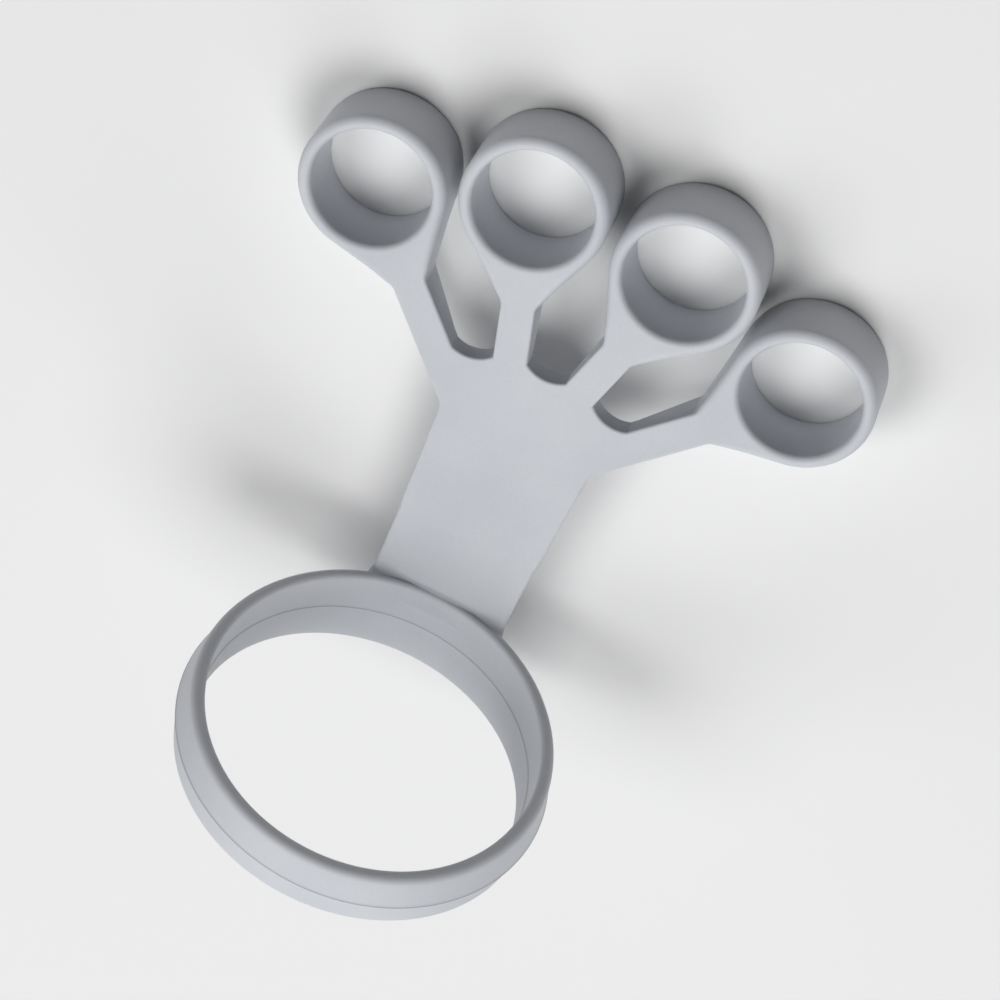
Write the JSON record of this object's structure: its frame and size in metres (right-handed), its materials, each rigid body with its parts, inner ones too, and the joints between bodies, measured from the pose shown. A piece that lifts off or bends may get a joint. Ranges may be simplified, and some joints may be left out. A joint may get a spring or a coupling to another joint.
{
  "type": "finger exerciser",
  "caption": "Silicone finger exerciser: a palm plate with elastic arms that end in finger loops, and a wide wrist cuff standing up from a short neck.",
  "frame": {"origin": "middle of the outline, in the plane the finger loops stand on", "axes": "X across the hand, Y from the wrist to the fingers, Z out of the palm face"},
  "size_m": [0.1112, 0.1254, 0.0772],
  "materials": {
    "silicone": "matte moulded silicone"
  },
  "bodies": {
    "palm": {"palm_plate": "silicone"},
    "wrist": {"neck": "silicone", "wrist_cuff": "silicone"},
    "arm_index": {"arm_index": "silicone"},
    "loop_index": {"loop_index": "silicone"},
    "arm_middle": {"arm_middle": "silicone"},
    "loop_middle": {"loop_middle": "silicone"},
    "arm_ring": {"arm_ring": "silicone"},
    "loop_ring": {"loop_ring": "silicone"},
    "arm_little": {"arm_little": "silicone"},
    "loop_little": {"loop_little": "silicone"}
  },
  "joints": [
    {"name": "index_bend", "type": "hinge", "parent": "palm", "child": "arm_index", "pos_m": [-0.01972, 0.01538, 0.0117], "axis": [0.7242, 0.6896, 0], "range_deg": [-12, 24], "stiffness_Nm_per_rad": 0.06, "deforming": ["arm_index"]},
    {"name": "index_stretch", "type": "slide", "parent": "arm_index", "child": "loop_index", "axis": [-0.6896, 0.7242, 0], "range_m": [0, 0.01], "stiffness_N_per_m": 1200},
    {"name": "middle_bend", "type": "hinge", "parent": "palm", "child": "arm_middle", "pos_m": [-0.00691, 0.02019, 0.0117], "axis": [0.9659, 0.2588, 0], "range_deg": [-12, 24], "stiffness_Nm_per_rad": 0.06, "deforming": ["arm_middle"]},
    {"name": "middle_stretch", "type": "slide", "parent": "arm_middle", "child": "loop_middle", "axis": [-0.2588, 0.9659, 0], "range_m": [0, 0.01], "stiffness_N_per_m": 1200},
    {"name": "ring_bend", "type": "hinge", "parent": "palm", "child": "arm_ring", "pos_m": [0.00691, 0.02019, 0.0117], "axis": [0.9659, -0.2588, 0], "range_deg": [-12, 24], "stiffness_Nm_per_rad": 0.06, "deforming": ["arm_ring"]},
    {"name": "ring_stretch", "type": "slide", "parent": "arm_ring", "child": "loop_ring", "axis": [0.2588, 0.9659, 0], "range_m": [0, 0.01], "stiffness_N_per_m": 1200},
    {"name": "little_bend", "type": "hinge", "parent": "palm", "child": "arm_little", "pos_m": [0.01972, 0.01538, 0.0117], "axis": [0.7242, -0.6896, 0], "range_deg": [-12, 24], "stiffness_Nm_per_rad": 0.06, "deforming": ["arm_little"]},
    {"name": "little_stretch", "type": "slide", "parent": "arm_little", "child": "loop_little", "axis": [0.6896, 0.7242, 0], "range_m": [0, 0.01], "stiffness_N_per_m": 1200},
    {"name": "cuff_fold", "type": "hinge", "parent": "palm", "child": "wrist", "pos_m": [0, -0.02433, 0.0117], "axis": [1, 0, 0], "range_deg": [-30, 60], "stiffness_Nm_per_rad": 0.15, "deforming": ["neck"]}
  ]
}
